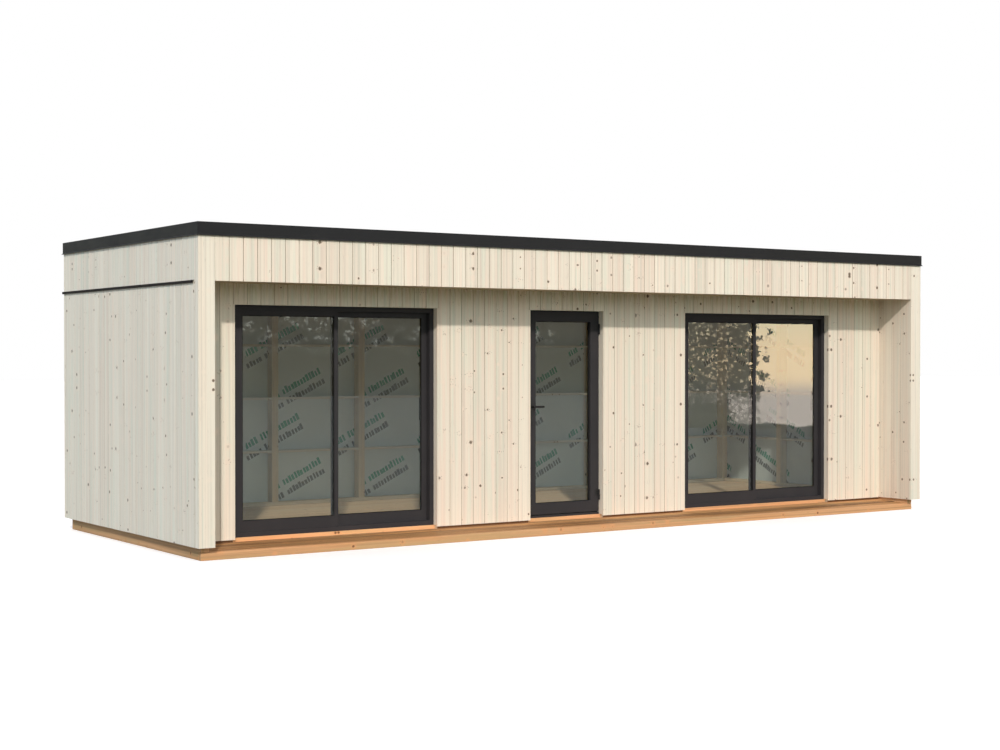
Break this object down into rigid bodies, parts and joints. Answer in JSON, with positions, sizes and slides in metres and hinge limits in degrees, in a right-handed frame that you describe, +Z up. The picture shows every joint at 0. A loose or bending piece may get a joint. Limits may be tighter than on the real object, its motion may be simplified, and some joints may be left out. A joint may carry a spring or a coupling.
{
  "type": "guest cabin",
  "caption": "Flat-roofed timber guest cabin with a covered front recess, sliding glass doors at both ends and a hinged glazed door between them.",
  "frame": {"origin": "bottom centre of the overall box, on the ground under the middle of the cabin", "axes": "+X to the right along the front, +Y from the front to the back, +Z up"},
  "size_m": [8.0548, 3.0508, 2.62],
  "materials": {
    "plinth": "matt sawn timber",
    "deck": "matt planed timber",
    "floor": "satin planed timber",
    "stud": "matt planed timber",
    "cladding": "matt, translucent pale wash",
    "lining": "matt, translucent pale wash",
    "membrane": "matt sheet",
    "covering": "matt sheet",
    "metal": "satin powder coat",
    "fittings": "satin",
    "glass": "clear sealed unit"
  },
  "bodies": {
    "cabin": {"side_base_beams": "plinth", "cross_base_beams": "plinth", "floor_joists": "plinth", "recess_deck": "deck", "floor_boards": "floor", "wall_plates": "stud", "wall_studs": "stud", "wall_noggins": "stud", "front_header_beam": "stud", "wind_membrane": "membrane", "front_wall_cladding": "cladding", "front_header_cladding": "cladding", "wing_cladding": "cladding", "side_wall_cladding": "cladding", "back_wall_cladding": "cladding", "front_frieze": "cladding", "side_friezes": "cladding", "back_frieze": "cladding", "joint_flashing": "metal", "recess_soffit": "cladding", "roof_rafters": "stud", "side_roof_rims": "stud", "end_roof_rims": "stud", "roof_boards": "stud", "roof_covering": "covering", "roof_trim": "metal", "door_sills": "deck", "reveal_linings": "lining", "door_frame": "metal", "door_frame_hinges": "fittings", "slider_frames": "metal", "fixed_sashes": "metal", "fixed_glass": "glass"},
    "door": {"door_leaf": "metal", "door_glass": "glass", "door_handles": "fittings", "door_leaf_hinges": "fittings"},
    "left_slider": {"left_sliding_sash": "metal", "left_sliding_glass": "glass", "left_pull_handle": "fittings"},
    "right_slider": {"right_sliding_sash": "metal", "right_sliding_glass": "glass", "right_pull_handle": "fittings"}
  },
  "joints": [
    {"name": "door_hinge", "type": "hinge", "parent": "cabin", "child": "door", "pos_m": [0.221, -1.014, 1.066], "axis": [0, 0, 1], "range_deg": [0, 95]},
    {"name": "left_slide", "type": "slide", "parent": "cabin", "child": "left_slider", "axis": [-1, 0, 0], "range_m": [0, 0.86]},
    {"name": "right_slide", "type": "slide", "parent": "cabin", "child": "right_slider", "axis": [-1, 0, 0], "range_m": [0, 0.86]}
  ]
}
